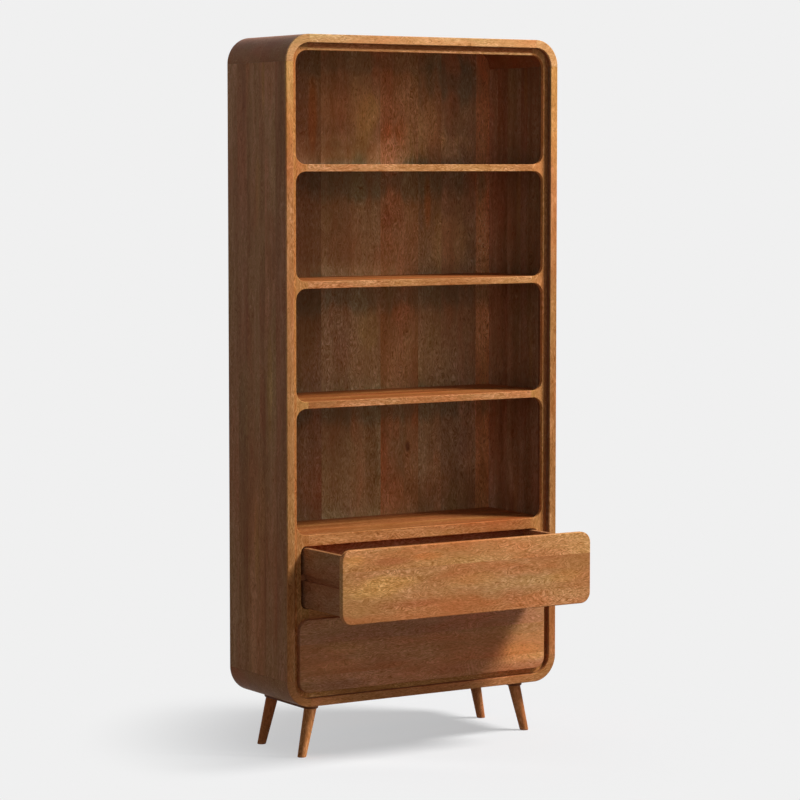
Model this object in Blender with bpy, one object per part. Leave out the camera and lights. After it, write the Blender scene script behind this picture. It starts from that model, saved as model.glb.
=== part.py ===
"""A tall wooden bookcase: four open compartments over two drawers, in a round-cornered case on
splayed legs.

Metres, +Z up, with the front facing -Y. The origin is on the floor, midway across the width and
midway between the back of the case and the front of the upper drawer, which stands part open.
Inside the case's own frame, y runs back from the rim and z runs up from the underside.
"""

import math

import bmesh
import bpy
from mathutils import Matrix, Vector

# Fit of one piece against the next, and how far a cutter runs past what it cuts.
FIT_GAP = 0.0003
CUT_OVERRUN = 0.002

# Case.
CASE_WIDTH = 0.811
CASE_DEPTH = 0.295
CASE_HEIGHT = 1.666
CASE_CORNER_RADIUS = 0.067
WALL = 0.021
BACK_THICKNESS = 0.0125

# Face frame, set back behind the rim of the case.
FRAME_SETBACK = 0.014
FRAME_THICKNESS = 0.010
TOP_RAIL_HEIGHT = 0.0184
DRAWER_RAIL_HEIGHT = 0.040
BOTTOM_RAIL_HEIGHT = 0.028
STILE_WIDTH = 0.0145
DRAWER_STILE_WIDTH = 0.0268
EAR_LAND = 0.002
SHELF_OPENING_RADIUS = 0.028
TOP_OPENING_RADIUS = 0.032
DRAWER_OPENING_HEIGHT = 0.156
DRAWER_OPENING_RADIUS = 0.015

# Shelves, numbered from the top. The lowest one is thicker and covers the drawers. Each runs
# through to the face of the frame, and its ends are let into the sides. The compartments share
# the height that the shelves leave, from the top down.
SHELF_THICKNESS = 0.018
DIVIDER_THICKNESS = 0.0278
SHELF_HOUSING = 0.006
COMPARTMENT_SHARES = (0.2441, 0.2365, 0.2444, 0.2750)

# Drawers. The fronts are as wide as the compartments' openings and as thick as the frame's
# setback, so that they lie flush with the rim of the case. The upper drawer stands open, with
# only the end of its box held in the case.
FRONT_LAP_BELOW = 0.0132
FRONT_LAP_ABOVE = 0.0138
FRONT_CORNER_RADIUS = 0.028
BOX_SIDE_CLEARANCE = 0.0087
BOX_TOP_CLEARANCE = 0.0035
BOX_BOTTOM_CLEARANCE = 0.0035
BOX_REAR_CLEARANCE = 0.0205
BOX_SIDE_THICKNESS = 0.014
BOX_END_THICKNESS = 0.012
BOTTOM_PANEL_THICKNESS = 0.006
BOTTOM_PANEL_RISE = 0.010
BOTTOM_PANEL_TONGUE = 0.005
OPEN_DRAWER_HELD = 0.045

# Runners: a strip in a groove of each drawer side, on a spacer that is fixed to the case.
GROOVE_HEIGHT = 0.015
GROOVE_DEPTH = 0.007
RUNNER_PLAY_BELOW = 0.0007
RUNNER_PLAY_INSIDE = 0.0015
RUNNER_FRONT_OFFSET = 0.002

# Legs, and the rail under each side of the case that two of them stand in.
LEG_HEIGHT = 0.134
LEG_TOP_RADIUS = 0.016
LEG_FOOT_RADIUS = 0.0112
LEG_SPLAY_SIDEWAYS = math.radians(13.4)
LEG_SPLAY_ENDWAYS = math.radians(2.8)
FOOT_INSET_SIDE = 0.0665
FOOT_INSET_FRONT = 0.0462
FOOT_INSET_BACK = 0.0455
BASE_RAIL_WIDTH = 0.040
BASE_RAIL_THICKNESS = 0.0135

# Fasteners.
SCREW_RADIUS = 0.002
SCREW_HEAD_RADIUS = 0.0038
SCREW_HEAD_HEIGHT = 0.0024
RUNNER_SCREW_REACH = 0.012
RUNNER_SCREW_INSET = 0.036
FRONT_SCREW_REACH = 0.009
FRONT_SCREW_INSET = 0.080
LEG_BOLT_RADIUS = 0.004
LEG_BOLT_IN_LEG = 0.035
LEG_BOLT_IN_CASE = 0.012

# Facets of the round shapes.
CASE_ARC_STEPS = 14
OPENING_ARC_STEPS = 10
LEG_SIDES = 32
ROD_SIDES = 16

# Where things come out in the case's frame.
INNER_HALF_WIDTH = CASE_WIDTH / 2 - WALL
CORNER_CENTRE = CASE_WIDTH / 2 - CASE_CORNER_RADIUS
SHELF_OPENING_EDGE = INNER_HALF_WIDTH - STILE_WIDTH
DRAWER_OPENING_EDGE = INNER_HALF_WIDTH - DRAWER_STILE_WIDTH
EAR_ROOT = SHELF_OPENING_EDGE - max(TOP_OPENING_RADIUS, SHELF_OPENING_RADIUS)
EAR_SEAM = min(EAR_ROOT, CORNER_CENTRE) - EAR_LAND
FRAME_BACK = FRAME_SETBACK + FRAME_THICKNESS
FRAME_LOW = WALL + FIT_GAP
FRAME_HIGH = CASE_HEIGHT - WALL - FIT_GAP
BACK_PANEL_FRONT = CASE_DEPTH - BACK_THICKNESS
LOWER_DRAWER_SILL = WALL + BOTTOM_RAIL_HEIGHT
LOWER_DRAWER_HEAD = LOWER_DRAWER_SILL + DRAWER_OPENING_HEIGHT
UPPER_DRAWER_SILL = LOWER_DRAWER_HEAD + DRAWER_RAIL_HEIGHT
SHELF_4_UNDERSIDE = UPPER_DRAWER_SILL + DRAWER_OPENING_HEIGHT
FOURTH_FLOOR = SHELF_4_UNDERSIDE + DIVIDER_THICKNESS
TOP_RAIL_UNDERSIDE = CASE_HEIGHT - WALL - TOP_RAIL_HEIGHT
CLEAR_HEIGHT = TOP_RAIL_UNDERSIDE - FOURTH_FLOOR - 3 * SHELF_THICKNESS
SHELF_3_UNDERSIDE = FOURTH_FLOOR + CLEAR_HEIGHT * COMPARTMENT_SHARES[3]
THIRD_FLOOR = SHELF_3_UNDERSIDE + SHELF_THICKNESS
SHELF_2_UNDERSIDE = THIRD_FLOOR + CLEAR_HEIGHT * COMPARTMENT_SHARES[2]
SECOND_FLOOR = SHELF_2_UNDERSIDE + SHELF_THICKNESS
SHELF_1_UNDERSIDE = SECOND_FLOOR + CLEAR_HEIGHT * COMPARTMENT_SHARES[1]
FIRST_FLOOR = SHELF_1_UNDERSIDE + SHELF_THICKNESS
SHELF_LEVELS = (
    (SHELF_1_UNDERSIDE, FIRST_FLOOR),
    (SHELF_2_UNDERSIDE, SECOND_FLOOR),
    (SHELF_3_UNDERSIDE, THIRD_FLOOR),
    (SHELF_4_UNDERSIDE, FOURTH_FLOOR),
)

# Drawer box, with z up from the sill of its opening.
FRONT_BACK_FACE = FRAME_SETBACK - FIT_GAP
BOX_FRONT = FRAME_SETBACK
BOX_BACK = BACK_PANEL_FRONT - BOX_REAR_CLEARANCE
BOX_OUTER = DRAWER_OPENING_EDGE - BOX_SIDE_CLEARANCE
BOX_INNER = BOX_OUTER - BOX_SIDE_THICKNESS
BOX_UNDERSIDE = BOX_BOTTOM_CLEARANCE
BOX_TOP = DRAWER_OPENING_HEIGHT - BOX_TOP_CLEARANCE
BOX_MIDDLE = (BOX_UNDERSIDE + BOX_TOP) / 2
GROOVE_FLOOR = BOX_MIDDLE - GROOVE_HEIGHT / 2
GROOVE_ROOF = BOX_MIDDLE + GROOVE_HEIGHT / 2
RUNNER_TOP = GROOVE_ROOF - FIT_GAP
RUNNER_UNDERSIDE = GROOVE_FLOOR + RUNNER_PLAY_BELOW
RUNNER_INNER = BOX_OUTER - GROOVE_DEPTH + RUNNER_PLAY_INSIDE
RUNNER_SCREW_DEPTHS = (FRAME_BACK + RUNNER_SCREW_INSET, BOX_BACK - RUNNER_SCREW_INSET)
COUNTERBORE_DEPTH = SCREW_HEAD_HEIGHT + 2 * FIT_GAP
UPPER_DRAWER_OPEN = BOX_BACK - BOX_FRONT - OPEN_DRAWER_HELD

SIDES = (("left", -1), ("right", 1))
ENDS = (("front", -1), ("rear", 1))
DRAWERS = (("upper", UPPER_DRAWER_SILL), ("lower", LOWER_DRAWER_SILL))

WOOD_COLOURS = {
    "case": (0.43, 0.24, 0.12),
    "frame": (0.45, 0.26, 0.13),
    "shelf": (0.40, 0.22, 0.11),
    "back": (0.32, 0.18, 0.10),
    "drawer": (0.44, 0.25, 0.12),
    "box": (0.36, 0.21, 0.12),
    "leg": (0.38, 0.19, 0.09),
}
WOOD_ROUGHNESS = 0.5
STEEL_COLOUR = (0.60, 0.60, 0.58)
STEEL_ROUGHNESS = 0.35
SMOOTH_BELOW = math.radians(40)


def clear_scene():
    """Removes what the startup file holds."""
    for obj in list(bpy.data.objects):
        bpy.data.objects.remove(obj, do_unlink=True)


def make_material(name, look):
    """One of the woods, or steel."""
    steel = look == "steel"
    colour = STEEL_COLOUR if steel else WOOD_COLOURS[look]
    material = bpy.data.materials.new(name)
    material.use_nodes = True
    shader = material.node_tree.nodes["Principled BSDF"]
    shader.inputs["Base Color"].default_value = (*colour, 1.0)
    shader.inputs["Roughness"].default_value = STEEL_ROUGHNESS if steel else WOOD_ROUGHNESS
    shader.inputs["Metallic"].default_value = 1.0 if steel else 0.0
    material.diffuse_color = (*colour, 1.0)
    return material


def add_empty(name, location, parent=None):
    """A reference frame that pieces are placed in."""
    empty = bpy.data.objects.new(name, None)
    empty.location = location
    empty.parent = parent
    bpy.context.scene.collection.objects.link(empty)
    return empty


def add_object(name, shape, look, parent):
    """Turns a bmesh into an object with its origin in the middle of its box."""
    bmesh.ops.recalc_face_normals(shape, faces=shape.faces)
    low = Vector([min(vert.co[i] for vert in shape.verts) for i in range(3)])
    high = Vector([max(vert.co[i] for vert in shape.verts) for i in range(3)])
    middle = (low + high) / 2
    bmesh.ops.translate(shape, verts=shape.verts, vec=-middle)
    mesh = bpy.data.meshes.new(name)
    shape.to_mesh(mesh)
    shape.free()
    obj = bpy.data.objects.new(name, mesh)
    obj.location = middle
    obj.parent = parent
    bpy.context.scene.collection.objects.link(obj)
    if look:
        mesh.materials.append(make_material(name, look))
    return obj


def loft(shape, rings):
    """Joins rings of equally many points into one closed solid with flat ends."""
    rows = [[shape.verts.new(point) for point in ring] for ring in rings]
    for row, following in zip(rows, rows[1:]):
        for i in range(len(row)):
            j = (i + 1) % len(row)
            shape.faces.new((row[i], row[j], following[j], following[i]))
    shape.faces.new(list(reversed(rows[0])))
    shape.faces.new(rows[-1])


def extrude(shape, outline, axis, start, end):
    """Extrudes an outline along an axis. Its points are the other two coordinates, in order."""
    along = "XYZ".index(axis)
    rings = [[[*p[:along], offset, *p[along:]] for p in outline] for offset in (start, end)]
    loft(shape, rings)


def block(shape, x_range, y_range, z_range):
    """A rectangular block."""
    (x0, x1), (y0, y1) = x_range, y_range
    extrude(shape, [(x0, y0), (x1, y0), (x1, y1), (x0, y1)], "Z", *z_range)


def turn(shape, start, direction, stations):
    """A round solid about an axis, from (distance along the axis, radius) stations."""
    frame = Vector(direction).to_track_quat("Z", "X").to_matrix().to_4x4()
    frame = Matrix.Translation(start) @ frame
    rings = [
        [frame @ Vector((x, y, distance)) for x, y in circle((0, 0), radius, ROD_SIDES)]
        for distance, radius in stations
    ]
    loft(shape, rings)


def bore(shape, start, direction, *steps):
    """A cutter for a hole into a surface, from the (depth, radius) steps of what it takes."""
    stations = []
    reached = -CUT_OVERRUN
    for depth, radius in steps:
        stations += [(reached, radius + FIT_GAP), (depth, radius + FIT_GAP)]
        reached = depth
    turn(shape, start, direction, stations)


def add_extrusion(name, outline, axis, start, end, look, parent):
    shape = bmesh.new()
    extrude(shape, outline, axis, start, end)
    return add_object(name, shape, look, parent)


def add_board(name, x_range, y_range, z_range, look, parent):
    shape = bmesh.new()
    block(shape, x_range, y_range, z_range)
    return add_object(name, shape, look, parent)


def add_rod(name, start, direction, stations, parent):
    """A turned steel piece, shaded smooth but for the edges of its flat ends."""
    shape = bmesh.new()
    turn(shape, start, direction, stations)
    shade_round(add_object(name, shape, "steel", parent))


def add_screw(name, start, direction, length, parent):
    """A screw as a flat head and a plain shank, from the outer face of its head."""
    stations = [
        (0, SCREW_HEAD_RADIUS),
        (SCREW_HEAD_HEIGHT, SCREW_HEAD_RADIUS),
        (SCREW_HEAD_HEIGHT, SCREW_RADIUS),
        (length, SCREW_RADIUS),
    ]
    add_rod(name, start, direction, stations, parent)


def shade_round(obj):
    obj.data.shade_smooth()
    obj.data.set_sharp_from_angle(angle=SMOOTH_BELOW)


def cut(obj, shape):
    """Cuts the solids of a bmesh, given in the frame of the object's parent, out of it."""
    cutter = add_object(obj.name + "_cutter", shape, None, obj.parent)
    cutter.hide_render = True
    cutter.display_type = "WIRE"
    modifier = obj.modifiers.new("cuts", "BOOLEAN")
    modifier.operation = "DIFFERENCE"
    modifier.solver = "EXACT"
    modifier.object = cutter


def arc(centre, radius, start_degrees, end_degrees, steps):
    """Points along an arc, both ends included."""
    sweep = end_degrees - start_degrees
    angles = [math.radians(start_degrees + sweep * i / steps) for i in range(steps + 1)]
    return [(centre[0] + radius * math.cos(a), centre[1] + radius * math.sin(a)) for a in angles]


def circle(centre, radius, steps):
    """Points around a circle."""
    return arc(centre, radius, 0, 360, steps)[:-1]


def rounded_rectangle(half_width, low, high, radius, steps):
    """A rectangle about x = 0 with four equal round corners, anticlockwise."""
    across = half_width - radius
    return [
        *arc((across, high - radius), radius, 0, 90, steps),
        *arc((-across, high - radius), radius, 90, 180, steps),
        *arc((-across, low + radius), radius, 180, 270, steps),
        *arc((across, low + radius), radius, 270, 360, steps),
    ]


def mirrored(outline, side):
    """The outline itself for side 1, or its mirror image in x for side -1."""
    return [(side * x, z) for x, z in outline]


def span(side, inner, outer):
    """The range from inner to outer on the given side, low end first."""
    return tuple(sorted((side * inner, side * outer)))


def frame_openings():
    """Floor, roof, edge, and radii at the roof and the floor of each opening, from the top down."""
    shelf = (SHELF_OPENING_EDGE, SHELF_OPENING_RADIUS, SHELF_OPENING_RADIUS)
    top = (SHELF_OPENING_EDGE, TOP_OPENING_RADIUS, SHELF_OPENING_RADIUS)
    drawer = (DRAWER_OPENING_EDGE, DRAWER_OPENING_RADIUS, DRAWER_OPENING_RADIUS)
    return [
        (FIRST_FLOOR, TOP_RAIL_UNDERSIDE, *top),
        (SECOND_FLOOR, SHELF_1_UNDERSIDE, *shelf),
        (THIRD_FLOOR, SHELF_2_UNDERSIDE, *shelf),
        (FOURTH_FLOOR, SHELF_3_UNDERSIDE, *shelf),
        (UPPER_DRAWER_SILL, SHELF_4_UNDERSIDE, *drawer),
        (LOWER_DRAWER_SILL, LOWER_DRAWER_HEAD, *drawer),
    ]


def leg_lean(side, end):
    """Upward direction of a leg, by its offset for each unit of height. The feet stand apart."""
    return Vector((-side * math.tan(LEG_SPLAY_SIDEWAYS), -end * math.tan(LEG_SPLAY_ENDWAYS), 1))


def leg_point(side, end, height):
    """A point of a leg's axis, by its height over the underside of the case."""
    foot_y = FOOT_INSET_FRONT if end < 0 else CASE_DEPTH - FOOT_INSET_BACK
    foot = Vector((side * (CASE_WIDTH / 2 - FOOT_INSET_SIDE), foot_y, -LEG_HEIGHT))
    return foot + leg_lean(side, end) * (height + LEG_HEIGHT)


def leg_length(side, end, low, high):
    """Length along a leg's axis between two heights."""
    return (leg_point(side, end, high) - leg_point(side, end, low)).length


def add_sides(case):
    """The side boards, housed for the shelf ends and drilled for the runners' screws."""
    half = CASE_WIDTH / 2
    heights = (CASE_CORNER_RADIUS + FIT_GAP, CASE_HEIGHT - CASE_CORNER_RADIUS - FIT_GAP)
    depths = (FRAME_BACK, BACK_PANEL_FRONT)
    for name, side in SIDES:
        across = span(side, INNER_HALF_WIDTH, half)
        board = add_board(f"side_{name}", across, (0, CASE_DEPTH), heights, "case", case)
        cuts = bmesh.new()
        housing = span(side, INNER_HALF_WIDTH - CUT_OVERRUN, INNER_HALF_WIDTH + SHELF_HOUSING)
        for underside, floor in SHELF_LEVELS:
            block(cuts, housing, depths, (underside - FIT_GAP, floor + FIT_GAP))
        for _, sill in DRAWERS:
            for y in RUNNER_SCREW_DEPTHS:
                start = (side * INNER_HALF_WIDTH, y, sill + BOX_MIDDLE)
                bore(cuts, start, (side, 0, 0), (RUNNER_SCREW_REACH + FIT_GAP, SCREW_RADIUS))
        cut(board, cuts)


def add_top_and_bottom(case):
    """The top board, and the bottom board with its bores for the legs' bolts."""
    reach = CORNER_CENTRE - FIT_GAP
    depths = (0, CASE_DEPTH)
    heights = (CASE_HEIGHT - WALL, CASE_HEIGHT)
    add_board("top_board", (-reach, reach), depths, heights, "case", case)
    bottom = add_board("bottom_board", (-reach, reach), depths, (0, WALL), "case", case)
    cuts = bmesh.new()
    for _, side in SIDES:
        for _, end in ENDS:
            depth = leg_length(side, end, 0, LEG_BOLT_IN_CASE) + FIT_GAP
            start = leg_point(side, end, 0)
            bore(cuts, start, leg_lean(side, end), (depth, LEG_BOLT_RADIUS))
    cut(bottom, cuts)


def add_corners(case):
    """The curved blocks that join the sides to the top and the bottom."""
    radius = CASE_CORNER_RADIUS
    for height_name, z, first in (("top", CASE_HEIGHT - radius, 0), ("bottom", radius, -90)):
        outline = [
            *arc((CORNER_CENTRE, z), radius, first, first + 90, CASE_ARC_STEPS),
            *arc((CORNER_CENTRE, z), radius - WALL, first + 90, first, CASE_ARC_STEPS),
        ]
        for side_name, side in SIDES:
            name = f"corner_{height_name}_{side_name}"
            add_extrusion(name, mirrored(outline, side), "Y", 0, CASE_DEPTH, "case", case)


def add_back_panel(case):
    """Vertical planks glued into one panel, let into the back of the case."""
    half = INNER_HALF_WIDTH - FIT_GAP
    radius = CASE_CORNER_RADIUS - WALL - FIT_GAP
    outline = rounded_rectangle(half, FRAME_LOW, FRAME_HIGH, radius, CASE_ARC_STEPS)
    add_extrusion("back_panel", outline, "Y", BACK_PANEL_FRONT, CASE_DEPTH, "back", case)


def add_face_frame(case):
    """Two stiles, whose ears carry the round corners of the openings, and three rails."""
    radius = CASE_CORNER_RADIUS - WALL - FIT_GAP
    upper_centre = (CORNER_CENTRE, CASE_HEIGHT - CASE_CORNER_RADIUS)
    outline = [
        (EAR_SEAM, FRAME_LOW),
        *arc((CORNER_CENTRE, CASE_CORNER_RADIUS), radius, -90, 0, CASE_ARC_STEPS),
        *arc(upper_centre, radius, 0, 90, CASE_ARC_STEPS),
        (EAR_SEAM, FRAME_HIGH),
    ]
    for floor, roof, edge, upper, lower in frame_openings():
        outline.append((EAR_SEAM, roof))
        outline += arc((edge - upper, roof - upper), upper, 90, 0, OPENING_ARC_STEPS)
        outline += arc((edge - lower, floor + lower), lower, 0, -90, OPENING_ARC_STEPS)
        outline.append((EAR_SEAM, floor))
    depths = (FRAME_SETBACK, FRAME_BACK)
    for name, side in SIDES:
        add_extrusion(f"stile_{name}", mirrored(outline, side), "Y", *depths, "frame", case)

    rails = (
        ("rail_top", TOP_RAIL_UNDERSIDE, FRAME_HIGH),
        ("rail_between_drawers", LOWER_DRAWER_HEAD, UPPER_DRAWER_SILL),
        ("rail_bottom", FRAME_LOW, LOWER_DRAWER_SILL),
    )
    reach = EAR_SEAM - FIT_GAP
    for name, low, high in rails:
        add_board(name, (-reach, reach), depths, (low, high), "frame", case)


def add_shelves(case):
    """Shelf boards, notched around the ears of the stiles and let into the sides."""
    narrow = EAR_SEAM - FIT_GAP
    wide = INNER_HALF_WIDTH + SHELF_HOUSING - FIT_GAP
    front = FRAME_SETBACK
    notch = FRAME_BACK + FIT_GAP
    rear = BACK_PANEL_FRONT - FIT_GAP
    outline = [
        (-narrow, front),
        (narrow, front),
        (narrow, notch),
        (wide, notch),
        (wide, rear),
        (-wide, rear),
        (-wide, notch),
        (-narrow, notch),
    ]
    for i, (underside, floor) in enumerate(SHELF_LEVELS):
        add_extrusion(f"shelf_{i + 1}", outline, "Z", underside, floor, "shelf", case)


def add_runners(case):
    """On each side a spacer behind the stile, with a runner strip screwed to it for each drawer."""
    for name, side in SIDES:
        spacer_outer = INNER_HALF_WIDTH - FIT_GAP
        spacer = add_board(
            f"runner_spacer_{name}",
            span(side, DRAWER_OPENING_EDGE, spacer_outer),
            (FRAME_BACK + FIT_GAP, BOX_BACK),
            (CASE_CORNER_RADIUS + FIT_GAP, SHELF_4_UNDERSIDE - FIT_GAP),
            "box",
            case,
        )
        cuts = bmesh.new()
        through = spacer_outer - DRAWER_OPENING_EDGE + CUT_OVERRUN
        for level, sill in DRAWERS:
            for y in RUNNER_SCREW_DEPTHS:
                start = (side * DRAWER_OPENING_EDGE, y, sill + BOX_MIDDLE)
                bore(cuts, start, (side, 0, 0), (through, SCREW_RADIUS))
            add_runner(f"{level}_{name}", side, sill, case)
        cut(spacer, cuts)


def add_runner(name, side, sill, case):
    """A runner strip, counterbored for the heads of its two screws."""
    outer = DRAWER_OPENING_EDGE - FIT_GAP
    strip = add_board(
        f"runner_{name}",
        span(side, RUNNER_INNER, outer),
        (FRAME_SETBACK + RUNNER_FRONT_OFFSET, BOX_BACK),
        (sill + RUNNER_UNDERSIDE, sill + RUNNER_TOP),
        "box",
        case,
    )
    cuts = bmesh.new()
    through = outer - RUNNER_INNER + CUT_OVERRUN
    steps = ((COUNTERBORE_DEPTH, SCREW_HEAD_RADIUS), (through, SCREW_RADIUS))
    head_face = RUNNER_INNER + COUNTERBORE_DEPTH - FIT_GAP - SCREW_HEAD_HEIGHT
    length = INNER_HALF_WIDTH + RUNNER_SCREW_REACH - head_face
    outward = (side, 0, 0)
    for (place, _), y in zip(ENDS, RUNNER_SCREW_DEPTHS):
        z = sill + BOX_MIDDLE
        bore(cuts, (side * RUNNER_INNER, y, z), outward, *steps)
        start = (side * head_face, y, z)
        add_screw(f"runner_screw_{name}_{place}", start, outward, length, case)
    cut(strip, cuts)


def add_base(case):
    """A round-ended rail under each side, with a leg below each end of it."""
    underside = -BASE_RAIL_THICKNESS
    half = BASE_RAIL_WIDTH / 2
    for name, side in SIDES:
        front = leg_point(side, -1, underside)
        rear = leg_point(side, 1, underside)
        outline = [
            *arc((rear.x, rear.y), half, 0, 180, CASE_ARC_STEPS),
            *arc((front.x, front.y), half, 180, 360, CASE_ARC_STEPS),
        ]
        rail = add_extrusion(f"base_rail_{name}", outline, "Z", underside, -FIT_GAP, "leg", case)
        cuts = bmesh.new()
        for end_name, end in ENDS:
            through = leg_length(side, end, underside, 0) + CUT_OVERRUN
            start = leg_point(side, end, underside)
            bore(cuts, start, leg_lean(side, end), (through, LEG_BOLT_RADIUS))
            add_leg(f"{end_name}_{name}", side, end, case)
        cut(rail, cuts)


def add_leg(name, side, end, case):
    """A tapered leg with level ends, and the bolt along its axis up into the bottom board."""
    seat = -BASE_RAIL_THICKNESS - FIT_GAP
    shape = bmesh.new()
    rings = []
    for height, radius in ((-LEG_HEIGHT, LEG_FOOT_RADIUS), (seat, LEG_TOP_RADIUS)):
        centre = leg_point(side, end, height)
        rings.append([(x, y, height) for x, y in circle(centre.xy, radius, LEG_SIDES)])
    loft(shape, rings)
    leg = add_object(f"leg_{name}", shape, "leg", case)
    shade_round(leg)

    lean = leg_lean(side, end)
    bolt_foot = seat - LEG_BOLT_IN_LEG
    bolt_length = leg_length(side, end, bolt_foot, LEG_BOLT_IN_CASE)
    stations = [(0, LEG_BOLT_RADIUS), (bolt_length, LEG_BOLT_RADIUS)]
    add_rod(f"leg_bolt_{name}", leg_point(side, end, bolt_foot), lean, stations, case)

    cuts = bmesh.new()
    depth = leg_length(side, end, bolt_foot, seat) + FIT_GAP
    bore(cuts, leg_point(side, end, seat), -lean, (depth, LEG_BOLT_RADIUS))
    cut(leg, cuts)


def add_drawer(level, sill, opened, case):
    """A drawer, in a frame that slides along its runners: a grooved box behind a lapping front."""
    slide = add_empty(f"drawer_{level}_slide", (0, -opened, sill), case)
    name = f"drawer_{level}"
    outline = rounded_rectangle(
        SHELF_OPENING_EDGE,
        -FRONT_LAP_BELOW,
        DRAWER_OPENING_HEIGHT + FRONT_LAP_ABOVE,
        FRONT_CORNER_RADIUS,
        OPENING_ARC_STEPS,
    )
    front = add_extrusion(f"{name}_front", outline, "Y", 0, FRONT_BACK_FACE, "drawer", slide)

    panel_low = BOX_UNDERSIDE + BOTTOM_PANEL_RISE
    panel_high = panel_low + BOTTOM_PANEL_THICKNESS
    tongue = BOX_INNER + BOTTOM_PANEL_TONGUE
    section = [
        (BOX_OUTER, BOX_UNDERSIDE),
        (BOX_OUTER, GROOVE_FLOOR),
        (BOX_OUTER - GROOVE_DEPTH, GROOVE_FLOOR),
        (BOX_OUTER - GROOVE_DEPTH, GROOVE_ROOF),
        (BOX_OUTER, GROOVE_ROOF),
        (BOX_OUTER, BOX_TOP),
        (BOX_INNER, BOX_TOP),
        (BOX_INNER, panel_high + FIT_GAP),
        (tongue, panel_high + FIT_GAP),
        (tongue, panel_low - FIT_GAP),
        (BOX_INNER, panel_low - FIT_GAP),
        (BOX_INNER, BOX_UNDERSIDE),
    ]
    for side_name, side in SIDES:
        outline = mirrored(section, side)
        add_extrusion(f"{name}_side_{side_name}", outline, "Y", BOX_FRONT, BOX_BACK, "box", slide)

    reach = BOX_INNER - FIT_GAP
    heights = (BOX_UNDERSIDE, BOX_TOP)
    inner_back = BOX_FRONT + BOX_END_THICKNESS
    back_front = BOX_BACK - BOX_END_THICKNESS
    depths = (BOX_FRONT, inner_back)
    inner = add_board(f"{name}_inner_front", (-reach, reach), depths, heights, "box", slide)
    add_board(f"{name}_back", (-reach, reach), (back_front, BOX_BACK), heights, "box", slide)
    reach = tongue - FIT_GAP
    depths = (inner_back + FIT_GAP, back_front - FIT_GAP)
    add_board(f"{name}_bottom", (-reach, reach), depths, (panel_low, panel_high), "box", slide)

    inner_cuts = bmesh.new()
    front_cuts = bmesh.new()
    forward = (0, -1, 0)
    head_face = inner_back + FIT_GAP + SCREW_HEAD_HEIGHT
    tip = FRONT_BACK_FACE - FRONT_SCREW_REACH
    through = (BOX_END_THICKNESS + CUT_OVERRUN, SCREW_RADIUS)
    blind = (FRONT_SCREW_REACH + FIT_GAP, SCREW_RADIUS)
    for side_name, side in SIDES:
        x = side * (BOX_INNER - FRONT_SCREW_INSET)
        start = (x, head_face, BOX_MIDDLE)
        add_screw(f"{name}_screw_{side_name}", start, forward, head_face - tip, slide)
        bore(inner_cuts, (x, inner_back, BOX_MIDDLE), forward, through)
        bore(front_cuts, (x, FRONT_BACK_FACE, BOX_MIDDLE), forward, blind)
    cut(inner, inner_cuts)
    cut(front, front_cuts)


def main():
    clear_scene()
    middle = (CASE_DEPTH - UPPER_DRAWER_OPEN) / 2
    case = add_empty("case_frame", (0, -middle, LEG_HEIGHT))
    add_sides(case)
    add_top_and_bottom(case)
    add_corners(case)
    add_back_panel(case)
    add_face_frame(case)
    add_shelves(case)
    add_runners(case)
    add_base(case)
    for (level, sill), opened in zip(DRAWERS, (UPPER_DRAWER_OPEN, 0)):
        add_drawer(level, sill, opened, case)


main()
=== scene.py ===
"""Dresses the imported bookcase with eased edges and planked, grained wood, in a plain studio."""

import math

import bmesh
import bpy
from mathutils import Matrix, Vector


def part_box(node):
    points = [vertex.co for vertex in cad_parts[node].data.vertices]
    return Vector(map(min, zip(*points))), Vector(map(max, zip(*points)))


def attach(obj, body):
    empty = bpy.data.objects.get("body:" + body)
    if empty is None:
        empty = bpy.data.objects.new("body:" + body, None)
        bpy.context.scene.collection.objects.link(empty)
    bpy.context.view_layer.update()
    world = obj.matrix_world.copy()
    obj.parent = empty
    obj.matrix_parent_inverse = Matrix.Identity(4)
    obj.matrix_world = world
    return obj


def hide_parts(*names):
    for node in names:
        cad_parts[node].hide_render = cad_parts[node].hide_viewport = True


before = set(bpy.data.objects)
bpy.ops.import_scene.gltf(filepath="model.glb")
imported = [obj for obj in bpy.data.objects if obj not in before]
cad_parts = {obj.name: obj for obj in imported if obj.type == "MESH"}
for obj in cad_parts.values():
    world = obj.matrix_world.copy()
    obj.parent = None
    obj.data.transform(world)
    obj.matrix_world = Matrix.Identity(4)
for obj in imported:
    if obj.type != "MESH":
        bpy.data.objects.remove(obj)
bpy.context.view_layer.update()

SIDES = (("left", -1), ("right", 1))
ENDS = (("front", -1), ("rear", 1))

# Edges and facets of the finished pieces, in metres.
RIM_EASE = 0.0018
FRAME_EASE = 0.0016
FRONT_EASE = 0.0024
BOX_EASE = 0.0010
BASE_EASE = 0.0030
FOOT_EASE = 0.0016
EASE_STEPS = 3
CASE_ARC_STEPS = 28
OPENING_ARC_STEPS = 14
LEG_SIDES = 56
SMOOTH_BELOW = math.radians(38)

# Lengths that the CAD boxes don't give.
SHELF_OPENING_RADIUS = 0.028
TOP_OPENING_RADIUS = 0.032
DRAWER_OPENING_RADIUS = 0.015
FRONT_CORNER_RADIUS = 0.028
LEG_TOP_RADIUS = 0.016
LEG_FOOT_RADIUS = 0.0112
GROOVE_DEPTH = 0.007
GROOVE_HEIGHT = 0.015
FIT_GAP = 0.0003

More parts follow.
